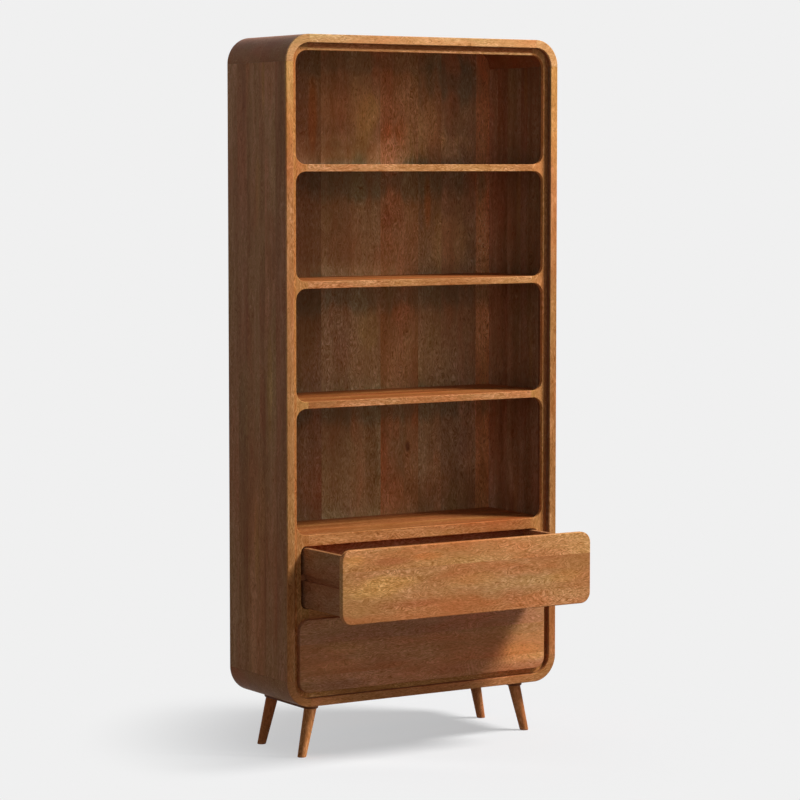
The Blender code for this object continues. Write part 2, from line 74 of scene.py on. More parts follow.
# Where things are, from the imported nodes.
INNER_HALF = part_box("side_right")[0].x
OUTER_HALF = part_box("side_right")[1].x
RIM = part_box("top_board")[0].y
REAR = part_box("top_board")[1].y
CASE_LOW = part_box("bottom_board")[0].z
CASE_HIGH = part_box("top_board")[1].z
WALL = OUTER_HALF - INNER_HALF
CORNER_RADIUS = OUTER_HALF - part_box("corner_top_right")[0].x
CORNER_CENTRE = OUTER_HALF - CORNER_RADIUS
EAR_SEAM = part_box("stile_right")[0].x
FRAME_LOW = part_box("stile_right")[0].z
FRAME_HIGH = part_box("stile_right")[1].z
FRAME_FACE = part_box("stile_right")[0].y
FRAME_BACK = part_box("stile_right")[1].y
SHELF_OPENING_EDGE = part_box("drawer_upper_front")[1].x
DRAWER_OPENING_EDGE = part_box("runner_spacer_right")[0].x
BACK_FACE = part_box("back_panel")[0].y


def srgb(red, green, blue):
    """A colour given in display values from 0 to 255, as the linear values that shaders take."""
    shares = [value / 255 for value in (red, green, blue)]
    return tuple(s / 12.92 if s <= 0.04045 else ((s + 0.055) / 1.055) ** 2.4 for s in shares)


def rgba(colour):
    """The colour with an alpha of 1, where it has none."""
    return (*colour, 1.0)[:4]


def scaled(colour, factors):
    return tuple(c * f for c, f in zip(colour, factors))


# Shapes


def arc(centre, radius, start_degrees, end_degrees, steps):
    """Points along an arc, both ends included."""
    sweep = end_degrees - start_degrees
    angles = [math.radians(start_degrees + sweep * i / steps) for i in range(steps + 1)]
    return [(centre[0] + radius * math.cos(a), centre[1] + radius * math.sin(a)) for a in angles]


def rounded_rectangle(half_width, low, high, radius, steps):
    """A rectangle about x = 0 with four equal round corners, anticlockwise."""
    across = half_width - radius
    return [
        *arc((across, high - radius), radius, 0, 90, steps),
        *arc((-across, high - radius), radius, 90, 180, steps),
        *arc((-across, low + radius), radius, 180, 270, steps),
        *arc((across, low + radius), radius, 270, 360, steps),
    ]


def mirrored(outline, side):
    return [(side * x, z) for x, z in outline]


def rectangle(x_range, y_range):
    (x0, x1), (y0, y1) = x_range, y_range
    return [(x0, y0), (x1, y0), (x1, y1), (x0, y1)]


def finish_mesh(name, shape, material, body, node):
    """Makes the object of a finished bmesh, smooth but for its sharp edges."""
    bmesh.ops.recalc_face_normals(shape, faces=shape.faces)
    mesh = bpy.data.meshes.new(name)
    shape.to_mesh(mesh)
    shape.free()
    mesh.shade_smooth()
    mesh.set_sharp_from_angle(angle=SMOOTH_BELOW)
    obj = bpy.data.objects.new(name, mesh)
    bpy.context.scene.collection.objects.link(obj)
    mesh.materials.append(material)
    weighted = obj.modifiers.new("flat faces stay flat", "WEIGHTED_NORMAL")
    weighted.keep_sharp = True
    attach(obj, body)
    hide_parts(node)


def solid(node, outline, axis, ends, material, body="case", start=(), end=(), along=(), ease=0):
    """Extrudes an outline along an axis and rounds chosen edges: outline segments of the start
    or the end face, and the long edges from chosen points of the outline."""
    place = "XYZ".index(axis)
    shape = bmesh.new()
    rows = [
        [shape.verts.new([*p[:place], offset, *p[place:]]) for p in outline] for offset in ends
    ]
    count = len(outline)
    for i in range(count):
        j = (i + 1) % count
        shape.faces.new((rows[0][i], rows[0][j], rows[1][j], rows[1][i]))
    shape.faces.new(list(reversed(rows[0])))
    shape.faces.new(rows[1])
    eased = []
    for row, chosen in zip(rows, (start, end)):
        eased += [shape.edges.get((row[i], row[(i + 1) % count])) for i in chosen]
    eased += [shape.edges.get((rows[0][i], rows[1][i])) for i in along]
    if eased:
        bmesh.ops.recalc_face_normals(shape, faces=shape.faces)
        bmesh.ops.bevel(
            shape, geom=eased, offset=ease, segments=EASE_STEPS, profile=0.5, affect="EDGES",
            clamp_overlap=True,
        )
    finish_mesh(f"{node}_dressed", shape, material, body, node)


def board(node, axis, material, body="case", along=range(4), ease=BOX_EASE):
    """A plain board in its node's box, with the chosen long edges rounded."""
    low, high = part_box(node)
    place = "XYZ".index(axis)
    others = [i for i in range(3) if i != place]
    outline = rectangle(*[(low[i], high[i]) for i in others])
    ends = (low[place], high[place])
    solid(node, outline, axis, ends, material, body, along=along, ease=ease)


# Node trees


class Tree:
    """Short ways to add nodes to a node tree."""

    def __init__(self, tree):
        self.tree = tree

    def add(self, kind, inputs=None, **settings):
        node = self.tree.nodes.new(kind)
        for key, value in settings.items():
            setattr(node, key, value)
        for key, value in (inputs or {}).items():
            self.feed(node.inputs[key], value)
        return node

    def feed(self, socket, value):
        """Links the socket to another, or sets its own value."""
        if isinstance(value, bpy.types.NodeSocket):
            self.tree.links.new(value, socket)
        else:
            socket.default_value = value

    def math(self, operation, *values):
        return self.add("ShaderNodeMath", dict(enumerate(values)), operation=operation).outputs[0]

    def vector_node(self, operation, *values):
        return self.add("ShaderNodeVectorMath", dict(enumerate(values)), operation=operation)

    def vector(self, operation, *values):
        return self.vector_node(operation, *values).outputs["Vector"]

    def number(self, operation, *values):
        """A vector operation that gives a number, such as LENGTH."""
        return self.vector_node(operation, *values).outputs["Value"]

    def combine(self, x, y, z):
        return self.add("ShaderNodeCombineXYZ", {0: x, 1: y, 2: z}).outputs[0]

    def object_place(self):
        return self.add("ShaderNodeTexCoord").outputs["Object"]

    def noise_node(self, vector, scale=1.0, detail=2.0, roughness=0.5):
        inputs = {"Vector": vector, "Scale": scale, "Detail": detail, "Roughness": roughness}
        return self.add("ShaderNodeTexNoise", inputs)

    def map_range(self, value, from_low, from_high, to_low, to_high, kind="LINEAR"):
        inputs = {0: value, 1: from_low, 2: from_high, 3: to_low, 4: to_high}
        return self.add("ShaderNodeMapRange", inputs, interpolation_type=kind).outputs[0]

    def mix(self, factor, first, second):
        return self.blend("MIX", factor, first, second)

    def tinted(self, colour, factors):
        return self.blend("MULTIPLY", 1.0, colour, factors)

    def blend(self, kind, factor, first, second):
        node = self.add("ShaderNodeMix", {0: factor}, data_type="RGBA", blend_type=kind)
        for i, colour in zip((6, 7), (first, second)):
            self.feed(node.inputs[i], rgba(colour) if isinstance(colour, tuple) else colour)
        return node.outputs[2]

    def ramp(self, factor, stops, interpolation="LINEAR"):
        node = self.add("ShaderNodeValToRGB", {"Fac": factor})
        node.color_ramp.interpolation = interpolation
        elements = node.color_ramp.elements
        while len(elements) < len(stops):
            elements.new(1.0)
        for element, (position, colour) in zip(elements, stops):
            element.position = position
            element.color = rgba(colour)
        return node

    def seen_ray(self):
        """1 for rays that show a thing by itself, in a mirror or through glass, and 0 for its light."""
        path = self.add("ShaderNodeLightPath")
        seen = self.math("MAXIMUM", path.outputs["Is Camera Ray"], path.outputs["Is Glossy Ray"])
        return self.math("MAXIMUM", seen, path.outputs["Is Transmission Ray"])


def new_material(name):
    """A material with its tree and its main shader."""
    material = bpy.data.materials.new(name)
    material.use_nodes = True
    return material, Tree(material.node_tree), material.node_tree.nodes["Principled BSDF"]


# The grain. Scales are in waves per metre along a plank, across it and through it.
BEND_SCALES = (2.2, 6.0, 6.0)
BEND_REACH = (0.0, 0.045, 0.045)
CURL_SCALES = (5.0, 9.0, 9.0)
CURL_REACH = (0.0, 0.016, 0.016)
WARP_NOISE_SCALE = 5.0
RING_WAVES = 150.0
LINE_WIDTH = 0.055
PORE_RANGE = (0.05, 0.17)


def make_grain_group():
    """The grain shared by all the wood, in a plank's own metres: x along it, y across, z through.
    The patches, streaks, flecks, fibre, rings and hue are about 0; lines and pores go from 0 to 1."""
    group = bpy.data.node_groups.new("wood_grain", "ShaderNodeTree")
    group.interface.new_socket("Vector", in_out="INPUT", socket_type="NodeSocketVector")
    t = Tree(group)
    place = t.add("NodeGroupInput").outputs["Vector"]

    def centred(vector, scales, detail, roughness):
        spot = t.vector("MULTIPLY", vector, scales)
        noise = t.noise_node(spot, detail=detail, roughness=roughness)
        return t.math("SUBTRACT", noise.outputs["Fac"], 0.5)

    def warped(vector, scales, reach):
        swirl = t.noise_node(t.vector("MULTIPLY", vector, scales), scale=WARP_NOISE_SCALE)
        shift = t.vector("SUBTRACT", swirl.outputs["Color"], (0.5, 0.5, 0.5))
        return t.vector("MULTIPLY_ADD", shift, reach, vector)

    bent = warped(place, BEND_SCALES, BEND_REACH)
    curled = warped(bent, CURL_SCALES, CURL_REACH)
    contour = centred(curled, (1.7, 6.5, 6.5), 1.0, 0.4)
    ridge = t.math("ABSOLUTE", centred(curled, (9.0, 90.0, 90.0), 1.0, 0.5))
    pores = centred(curled, (75.0, 480.0, 480.0), 2.0, 0.6)
    found = {
        "Patches": centred(bent, (3.4, 7.0, 7.0), 3.0, 0.5),
        "Streaks": centred(bent, (1.3, 30.0, 30.0), 4.0, 0.6),
        "Flecks": centred(curled, (60.0, 430.0, 430.0), 1.5, 0.6),
        "Lines": t.map_range(ridge, 0.0, LINE_WIDTH, 1.0, 0.0, "SMOOTHSTEP"),
        "Fibre": centred(bent, (16.0, 340.0, 340.0), 3.0, 0.6),
        "Rings": t.math("MULTIPLY", t.math("SINE", t.math("MULTIPLY", contour, RING_WAVES)), 0.5),
        "Pores": t.map_range(pores, *PORE_RANGE, 0.0, 1.0, "SMOOTHSTEP"),
        "Hue": centred(bent, (2.6, 12.0, 12.0), 3.0, 0.55),
    }
    for name in found:
        group.interface.new_socket(name, in_out="OUTPUT", socket_type="NodeSocketFloat")
    out = t.add("NodeGroupOutput")
    for name, socket in found.items():
        t.feed(out.inputs[name], socket)
    return group


GRAIN = make_grain_group()

# The tone of the wood, from 0 to 1 about 0.5, and the colours at its ends as factors on its colour.
LIVELY_FROM_PATCHES = (-0.16, 0.16, 0.55, 1.35)
FLECK_WEIGHT = 1.35
LINE_WEIGHT = -0.08
PATCH_WEIGHT = 0.60
STREAK_WEIGHT = 0.50
FIBRE_WEIGHT = 0.30
RING_WEIGHT = 0.05
DARK = (0.52, 0.38, 0.18)
LIGHT = (1.64, 1.96, 2.60)
# The hue, from 0 to 1 about 0.5, and its ends.
HUE_WEIGHT = 2.1
HUE_FROM_PATCHES = -0.9
YELLOWER = (0.97, 1.08, 0.96)
REDDER = (1.10, 0.87, 0.84)
# Pores and the surface.
PORE_SHARE = 0.50
PORE_FACTORS = (0.50, 0.35, 0.16)
ROUGHNESS = 0.46
PORE_ROUGHNESS = 0.18
SPECULAR_LEVEL = 0.05
SPECULAR_TINT = (1.0, 0.68, 0.42, 1.0)
FLECK_HEIGHT = 0.5
BUMP_STRENGTH = 0.25
BUMP_DISTANCE = 0.0003
# Planks: a ramp's colours end at 1, so factors are divided by this range in it. Its alpha shifts
# each plank's grain by up to PLANK_SHIFT metres.
FACTOR_RANGE = 4.0
PLANK_SHIFT = 9.0
PLANK_STEP = 0.377
SEED_STEP = 0.11
# Marks and swirls fade over a span of their distance, which is 1 at their half size.
MARK_DEPTH = 0.004
MARK_FRAY = 2.2
MARK_FADE = (0.35, 1.0)
SWIRL_FRAY = 1.0
SWIRL_FADE = (0.60, 1.10)
SWIRL_STRENGTH = 0.065
# What a mark does to the colour under it.
MARKS = {
    "ember": (1.16, 0.84, 0.62),
    "rust": (0.88, 0.70, 0.72),
    "gold": (1.18, 1.22, 1.02),
    "dusk": (0.66, 0.64, 0.66),
    "pale": (1.40, 1.38, 1.32),
    # The shade mark is painted shade: it darkens the back under the top and under each shelf.
    "shade": (0.66, 0.84, 0.95),
    "knot": (0.40, 0.33, 0.32),
    "umber": (0.72, 0.63, 0.56),
    "warm": (1.32, 1.20, 1.26),
    "calm": (1.04, 1.20, 1.38),
    "olive": (0.88, 1.06, 1.16),
}
# The steel of the screws and bolts.
MOTTLE_SCALE = 900.0
MOTTLE_RANGE = (0.3, 0.7)
ZINC_COLOURS = (srgb(150, 150, 146), srgb(196, 196, 190))
ZINC_ROUGHNESS = (0.30, 0.48)


def row_stops(rows, seed):
    """Ramp stops for rows of (place across the grain, factors on the colour)."""
    low, high = rows[0][0], rows[-1][0]
    return [
        (
            (place - low) / (high - low),
            (*[f / FACTOR_RANGE for f in factors], (i * PLANK_STEP + seed * SEED_STEP) % 1.0),
        )
        for i, (place, factors) in enumerate(rows)
    ]


def make_wood(
    name, colour, along, across, seed, planks=None,
    streaks=1.0, patches=1.0, flecks=1.0, marks=(), swirls=(), painted_shading=None, face=None,
):
    """Wood of one mean colour, with its grain along an axis. Planks are rows of (from, factors on
    the colour) across it, and the last row only ends them. Marks are (kind, strength, middle, half
    size), and swirls are (middle, half size, line spacing), with each middle and half size along
    the grain and then across it. Painted shading is (limit, rows of place across the grain and
    factors), lighter and darker factors that stand in for light and shade, and reaches the faces
    within the limit of the middle plane. With a face, the marks stay close to that place through
    the wood."""
    material, t, shader = new_material(name)
    parts = t.add("ShaderNodeSeparateXYZ", {0: t.object_place()})
    order = ["XYZ".index(along), "XYZ".index(across)]
    order.append(3 - sum(order))
    first, second, third = (parts.outputs[i] for i in order)

    def spread_rows(rows):
        """The share of the way from the first row to the last."""
        return t.map_range(second, rows[0][0], rows[-1][0], 0.0, 1.0)

    def times_factors(base, ramp):
        factors = t.add(
            "ShaderNodeVectorMath", {0: ramp.outputs["Color"], "Scale": FACTOR_RANGE}, operation="SCALE"
        )
        return t.vector("MULTIPLY", base, factors.outputs[0])

    offset = seed
    if planks:
        plank = t.ramp(spread_rows(planks), row_stops(planks, seed)[:-1], "CONSTANT")
        offset = t.math("MULTIPLY_ADD", plank.outputs["Alpha"], PLANK_SHIFT, seed)
    shifted = t.combine(t.math("ADD", first, offset), t.math("ADD", second, offset), third)
    out = t.add("ShaderNodeGroup", {0: shifted}, node_tree=GRAIN).outputs

    def distance(middle, half, fray):
        """Distance from a middle, 1 at the half size, with a frayed edge."""
        depth = 0.0 if face is None else t.math("DIVIDE", t.math("SUBTRACT", third, face), MARK_DEPTH)
        away = t.combine(
            t.math("DIVIDE", t.math("SUBTRACT", first, middle[0]), half[0]),
            t.math("DIVIDE", t.math("SUBTRACT", second, middle[1]), half[1]),
            depth,
        )
        return t.math("MULTIPLY_ADD", out["Hue"], fray, t.number("LENGTH", away))

    # The flecks are strong where the patches are pale.
    lively = t.map_range(out["Patches"], *LIVELY_FROM_PATCHES)
    tone = t.math("MULTIPLY_ADD", t.math("MULTIPLY", out["Flecks"], lively), FLECK_WEIGHT * flecks, 0.5)
    tone = t.math("MULTIPLY_ADD", t.math("MULTIPLY", out["Lines"], lively), LINE_WEIGHT * flecks, tone)
    weights = {
        "Patches": PATCH_WEIGHT * patches,
        "Streaks": STREAK_WEIGHT * streaks,
        "Fibre": FIBRE_WEIGHT,
        "Rings": RING_WEIGHT,
    }
    for channel, weight in weights.items():
        tone = t.math("MULTIPLY_ADD", out[channel], weight, tone)
    for middle, half, spacing in swirls:
        reach = distance(middle, half, SWIRL_FRAY)
        waves = t.math("SINE", t.math("MULTIPLY", reach, 2 * math.pi * half[1] / spacing))
        inside = t.map_range(reach, *SWIRL_FADE, SWIRL_STRENGTH, 0.0, "SMOOTHSTEP")
        tone = t.math("MULTIPLY_ADD", waves, inside, tone)
    ends = [(0.0, scaled(colour, DARK)), (0.5, colour), (1.0, scaled(colour, LIGHT))]
    base = t.ramp(tone, ends).outputs["Color"]
    if planks:
        base = times_factors(base, plank)

    hue = t.math("MULTIPLY_ADD", out["Hue"], HUE_WEIGHT, 0.5)
    hue = t.math("MULTIPLY_ADD", out["Patches"], HUE_FROM_PATCHES, hue)
    tint = t.ramp(hue, [(0.0, YELLOWER), (0.5, PLAIN), (1.0, REDDER)]).outputs["Color"]
    base = t.tinted(base, tint)
    # Painted shading: lighter and darker factors on the faces within the limit, standing in for the light
    # and shade there.
    if painted_shading:
        limit, rows = painted_shading
        ramp = t.ramp(spread_rows(rows), row_stops(rows, seed))
        within = t.math("LESS_THAN", t.math("ABSOLUTE", third), limit)
        base = t.mix(within, base, times_factors(base, ramp))
    for kind, strength, middle, half in marks:
        away = distance(middle, half, MARK_FRAY)
        mask = t.map_range(away, *MARK_FADE, strength, 0.0, "SMOOTHSTEP")
        base = t.mix(mask, base, t.tinted(base, MARKS[kind]))
    pore = t.math("MULTIPLY", out["Pores"], PORE_SHARE)
    t.feed(shader.inputs["Base Color"], t.mix(pore, base, scaled(colour, PORE_FACTORS)))

    rough = t.math("MULTIPLY_ADD", out["Pores"], PORE_ROUGHNESS, ROUGHNESS)
    t.feed(shader.inputs["Roughness"], rough)
    t.feed(shader.inputs["Specular IOR Level"], SPECULAR_LEVEL)
    t.feed(shader.inputs["Specular Tint"], SPECULAR_TINT)
    height = t.math("SUBTRACT", t.math("MULTIPLY", out["Flecks"], FLECK_HEIGHT), out["Pores"])
    bump = {"Strength": BUMP_STRENGTH, "Distance": BUMP_DISTANCE, "Height": height}
    t.feed(shader.inputs["Normal"], t.add("ShaderNodeBump", bump).outputs[0])
    return material


def make_steel():
    """Mottled zinc plating, rougher where it is paler."""
    material, t, shader = new_material("zinc_steel")
    mottle = t.noise_node(t.object_place(), scale=MOTTLE_SCALE, detail=3.0).outputs["Fac"]
    base = t.ramp(mottle, list(zip(MOTTLE_RANGE, ZINC_COLOURS)))
    t.feed(shader.inputs["Base Color"], base.outputs["Color"])
    t.feed(shader.inputs["Roughness"], t.map_range(mottle, *MOTTLE_RANGE, *ZINC_ROUGHNESS))
    t.feed(shader.inputs["Metallic"], 1.0)
    return material


# Woods

EDGE = srgb(202, 136, 78)
OUTSIDE = srgb(171, 113, 72)
BACK = srgb(171, 113, 72)
FRONT = srgb(205, 140, 86)
SHELF = srgb(170, 104, 56)
BOX = srgb(172, 114, 74)
LEG = srgb(208, 132, 80)
# The base rails are darkened as painted shade, for the shade they sit in under the case.
BASE = srgb(126, 78, 48)
PLAIN = (1.0, 1.0, 1.0)
CASE_GRAIN = {"patches": 0.5, "flecks": 0.75}

# Each piece shows its own stretch of the grain, shifted by its seed in metres.
SEEDS = {
    "side": 3.1, "back_panel": 5.0, "board": 7.3, "corner": 11.0, "stile": 13.0, "rail": 17.0,
    "shelf": 19.0, "base_rail": 29.0, "leg": 31.0, "upper": 41.0, "lower": 57.0,
}
SHELF_SEED_STEP = 2.7
NAME_SEED_STEP = 1.7

# Planks across the boards. The boards carry a strip on their front edges.
STRIP = 0.004
SIDE_PLANKS = [
    (RIM, (1.40, 1.50, 1.30)), (RIM + STRIP, (0.92, 0.86, 0.82)), (0.006, (1.04, 1.04, 0.98)),
    (0.060, (1.00, 0.94, 0.88)), (0.088, (1.06, 1.10, 1.04)), (0.150, (0.94, 0.88, 0.82)),
    (0.196, (1.04, 1.06, 1.06)), (REAR, PLAIN),
]
CASE_PLANKS = {
    "top": [
        (RIM, (1.66, 2.12, 2.05)), (RIM + STRIP, (0.80, 0.77, 0.72)), (0.080, (0.88, 0.84, 0.79)),
        (REAR, PLAIN),
    ],
    "bottom": [
        (RIM, (1.34, 1.24, 1.08)), (RIM + STRIP, (0.93, 0.89, 0.85)), (0.080, (1.00, 0.97, 0.94)),
        (REAR, PLAIN),
    ],
}
SHELF_PLANKS = [
    (FRAME_FACE, (1.42, 1.72, 2.10)), (FRAME_FACE + STRIP, PLAIN), (0.022, (1.14, 1.18, 1.16)),
    (0.075, (0.92, 0.86, 0.84)), (0.118, (1.10, 1.10, 1.10)), (0.165, (0.94, 0.90, 0.88)), (REAR, PLAIN),
]
LOW_SHELF_PLANKS = [(FRAME_FACE, (1.42, 1.58, 1.75)), *SHELF_PLANKS[1:]]
STILE_PLANKS_AND_PAINTED_SHADE = {
    "left": [(-INNER_HALF, (1.0, 0.90, 0.80)), (-SHELF_OPENING_EDGE, PLAIN), (-EAR_SEAM, PLAIN)],
    # On the right stile, the darker, redder strip along its outer 10 mm is painted shade, for the recess
    # that the right lip shades.
    "right": [(EAR_SEAM, PLAIN), (INNER_HALF - 0.010, (0.74, 0.60, 0.60)), (INNER_HALF, PLAIN)],
}
# The top rail's upper 12 mm is darker and redder as painted shade under the top lip, and its lower part is
# lighter as painted light.
TOP_RAIL_PAINTED_SHADING = [
    (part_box("rail_top")[0].z, (1.18, 1.36, 1.60)), (FRAME_HIGH - 0.012, (0.80, 0.64, 0.62)),
    (FRAME_HIGH, PLAIN),
]
BACK_PLANKS = [
    (-INNER_HALF, (0.84, 0.86, 0.86)), (-0.141, (1.07, 1.19, 1.15)), (0.041, (1.28, 1.16, 1.00)),
    (0.159, (1.18, 1.20, 1.12)), (0.230, (1.22, 1.22, 1.22)), (0.342, (1.16, 1.00, 0.90)),
    (INNER_HALF, PLAIN),
]

# Painted shading on the inner faces of the sides, from the front to the back, and of the back, from left
# to right: the sides' inner faces are darker near the front and lighter and paler towards the back, and
# the back's inner face is lighter and paler than its rear face, most of all in a band about the middle and
# in the strip by the right wall.
PAINTED_SHADING_DEPTH = 0.001
SIDE_PAINTED_SHADING = [
    (RIM, (0.64, 0.82, 1.02)), (0.050, (0.64, 0.82, 1.02)), (0.110, (0.70, 0.90, 1.12)),
    (0.150, (0.88, 1.13, 1.40)), (0.190, (1.08, 1.40, 1.74)), (REAR, (1.20, 1.54, 1.90)),
]
BACK_PAINTED_SHADING = [
    (-INNER_HALF, (1.12, 1.48, 1.76)), (-0.055, (1.12, 1.48, 1.76)), (-0.045, (1.27, 1.66, 1.92)),
    (0.036, (1.27, 1.66, 1.92)), (0.046, (1.12, 1.46, 1.70)), (0.340, (1.12, 1.48, 1.72)),
    (0.342, (1.80, 2.28, 2.62)), (INNER_HALF, (1.80, 2.28, 2.62)),
]

SIDE_MARKS = [
    ("gold", 0.90, (1.640, RIM), (0.300, 0.008)),
    ("rust", 0.25, (1.100, RIM), (0.200, 0.008)),
    ("gold", 1.00, (1.690, 0.068), (0.110, 0.012)),
    ("gold", 0.80, (1.420, 0.098), (0.140, 0.014)),
    ("gold", 0.80, (0.960, 0.040), (0.160, 0.012)),
    ("gold", 0.60, (0.560, 0.110), (0.150, 0.016)),
    ("dusk", 0.45, (1.620, 0.165), (0.120, 0.016)),
    ("dusk", 0.40, (1.250, 0.020), (0.150, 0.014)),
    ("dusk", 0.40, (0.800, 0.180), (0.160, 0.018)),
    ("rust", 0.50, (1.480, -0.010), (0.130, 0.014)),
    ("rust", 0.50, (1.100, 0.150), (0.120, 0.014)),
    ("rust", 0.40, (0.420, 0.010), (0.120, 0.014)),
    ("warm", 0.85, (0.420, 0.110), (0.420, 0.060)),
]
BACK_MARKS = [
    ("ember", 0.95, (1.590, -0.165), (0.110, 0.018)),
    ("gold", 0.90, (1.610, 0.008), (0.080, 0.055)),
    ("pale", 0.90, (1.580, 0.200), (0.100, 0.050)),
    ("pale", 0.80, (1.270, 0.250), (0.090, 0.060)),
    ("dusk", 0.75, (0.740, 0.270), (0.120, 0.090)),
    # Painted shade: the shade marks darken the back under the top and under each shelf, and at the top
    # right of the highest compartment.
    ("shade", 0.60, (1.745, 0.000), (0.040, 0.500)),
    ("shade", 1.00, (1.700, 0.270), (0.075, 0.130)),
    ("shade", 1.00, (1.440, 0.000), (0.066, 0.500)),
    ("shade", 0.90, (1.140, 0.000), (0.060, 0.500)),
    ("shade", 0.90, (0.845, 0.000), (0.056, 0.500)),
    ("pale", 0.55, (1.630, -0.040), (0.080, 0.220)),
    ("umber", 0.90, (1.515, -0.100), (0.040, 0.200)),
    ("pale", 0.60, (1.525, 0.270), (0.040, 0.090)),
    ("umber", 0.60, (0.660, 0.060), (0.110, 0.110)),
    ("umber", 0.85, (0.612, 0.260), (0.080, 0.190)),
    ("umber", 0.80, (0.720, 0.015), (0.130, 0.024)),
    ("olive", 1.00, (0.720, 0.085), (0.160, 0.060)),
    ("calm", 0.70, (0.720, 0.160), (0.130, 0.030)),
    ("ember", 0.70, (1.570, 0.065), (0.060, 0.034)),
    ("ember", 0.50, (1.564, 0.101), (0.060, 0.028)),
    ("dusk", 0.60, (1.640, 0.270), (0.045, 0.022)),
    ("dusk", 0.60, (1.515, 0.300), (0.035, 0.020)),
    ("ember", 0.90, (1.384, 0.189), (0.085, 0.013)),
    ("dusk", 0.50, (1.350, 0.168), (0.060, 0.010)),
    ("rust", 0.60, (1.342, 0.064), (0.050, 0.024)),
    ("rust", 0.50, (1.010, -0.080), (0.090, 0.040)),
    ("gold", 0.50, (1.060, 0.010), (0.070, 0.045)),
    ("knot", 0.90, (0.739, 0.126), (0.020, 0.010)),
]
FRONT_MARKS = {
    "upper": [
        ("gold", 0.90, (-0.333, 0.526), (0.050, 0.022)),
        ("gold", 1.00, (-0.250, 0.460), (0.120, 0.034)),
        ("rust", 0.80, (-0.232, 0.515), (0.080, 0.016)),
        ("ember", 0.50, (-0.132, 0.521), (0.060, 0.014)),
        ("rust", 0.75, (-0.150, 0.404), (0.130, 0.018)),
        ("gold", 0.50, (0.020, 0.455), (0.120, 0.026)),
        ("rust", 0.45, (0.130, 0.399), (0.060, 0.030)),
        ("calm", 0.60, (0.110, 0.440), (0.180, 0.080)),
        ("dusk", 0.40, (0.142, 0.473), (0.050, 0.016)),
        ("rust", 0.50, (0.230, 0.500), (0.110, 0.020)),
        ("gold", 0.50, (0.300, 0.440), (0.070, 0.020)),
    ],
    "lower": [
        # Painted highlight: the next two marks brighten and yellow the lower right, where the key light
        # falls past the open upper drawer.
        ("pale", 0.45, (0.300, 0.235), (0.110, 0.070)),
        ("gold", 0.95, (0.290, 0.215), (0.120, 0.036)),
        ("rust", 0.40, (-0.136, 0.224), (0.150, 0.030)),
        ("pale", 0.40, (-0.270, 0.232), (0.120, 0.022)),
        # Painted shade: the next mark darkens the bottom left; the one after is the painted shadow of the
        # open upper drawer along the top.
        ("dusk", 0.85, (-0.235, 0.183), (0.170, 0.024)),
        ("dusk", 0.35, (-0.050, 0.302), (0.360, 0.032)),
        ("dusk", 0.60, (0.322, 0.277), (0.050, 0.012)),
        ("rust", 0.70, (0.291, 0.160), (0.120, 0.016)),
        ("gold", 0.40, (-0.250, 0.270), (0.090, 0.022)),
        ("rust", 0.50, (0.080, 0.190), (0.120, 0.020)),
    ],
}
FRONT_SWIRLS = {
    "upper": [((0.115, 0.360), (0.130, 0.085), 0.0065), ((0.285, 0.395), (0.070, 0.060), 0.0070)],
    "lower": [((0.190, 0.200), (0.110, 0.090), 0.008)],
}
# Planks of the drawer fronts, from shares of their height.
FRONT_PLANKS = {
    "upper": [(0.0, PLAIN), (0.70, (1.12, 1.12, 1.08)), (1.0, PLAIN)],
    "lower": [
        (0.0, (0.96, 0.89, 1.02)), (0.22, (0.98, 0.92, 1.04)), (0.66, (0.96, 0.91, 1.15)), (1.0, PLAIN),
    ],
}
FRONT_STREAKS = 0.6
FRONT_FLECKS = {"upper": 1.0, "lower": 0.7}
STEEL = make_steel()


# The case


def build_case():
    for i, (name, _) in enumerate(SIDES):
        node = f"side_{name}"
        wood = make_wood(
            f"{node}_wood", OUTSIDE, "Z", "Y", SEEDS["side"] + i, SIDE_PLANKS, streaks=2.6,
            marks=SIDE_MARKS, painted_shading=(INNER_HALF + PAINTED_SHADING_DEPTH, SIDE_PAINTED_SHADING), **CASE_GRAIN,
        )
        board(node, "Z", wood, ease=RIM_EASE)
    for i, (name, planks) in enumerate(CASE_PLANKS.items()):
        node = f"{name}_board"
        wood = make_wood(f"{node}_wood", OUTSIDE, "X", "Y", SEEDS["board"] + i, planks, **CASE_GRAIN)
        board(node, "X", wood, ease=RIM_EASE)
    build_corners("top", CASE_HIGH - CORNER_RADIUS, 0)
    build_corners("bottom", CASE_LOW + CORNER_RADIUS, -90)

    low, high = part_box("back_panel")
    wood = make_wood(
        "back_panel_wood", BACK, "Z", "X", SEEDS["back_panel"], BACK_PLANKS,
        marks=BACK_MARKS, painted_shading=(BACK_FACE + PAINTED_SHADING_DEPTH, BACK_PAINTED_SHADING), face=BACK_FACE,
    )
    outline = rounded_rectangle(high.x, low.z, high.z, CORNER_RADIUS - WALL, CASE_ARC_STEPS)
    solid("back_panel", outline, "Y", (low.y, high.y), wood)


def build_corners(level, z, first):
    """The two corner blocks at one height, each a quarter ring from the first angle on."""
    outline = [
        *arc((CORNER_CENTRE, z), CORNER_RADIUS, first, first + 90, CASE_ARC_STEPS),
        *arc((CORNER_CENTRE, z), CORNER_RADIUS - WALL, first + 90, first, CASE_ARC_STEPS),
    ]
    joints = (CASE_ARC_STEPS, 2 * CASE_ARC_STEPS + 1)
    arcs = [i for i in range(len(outline)) if i not in joints]
    for name, side in SIDES:
        node = f"corner_{level}_{name}"
        seed = SEEDS["corner"] + side + z
        wood = make_wood(f"{node}_wood", OUTSIDE, "X", "Y", seed, CASE_PLANKS[level], **CASE_GRAIN)
        solid(
            node, mirrored(outline, side), "Y", (RIM, REAR), wood,
            start=arcs, end=arcs, ease=RIM_EASE,
        )


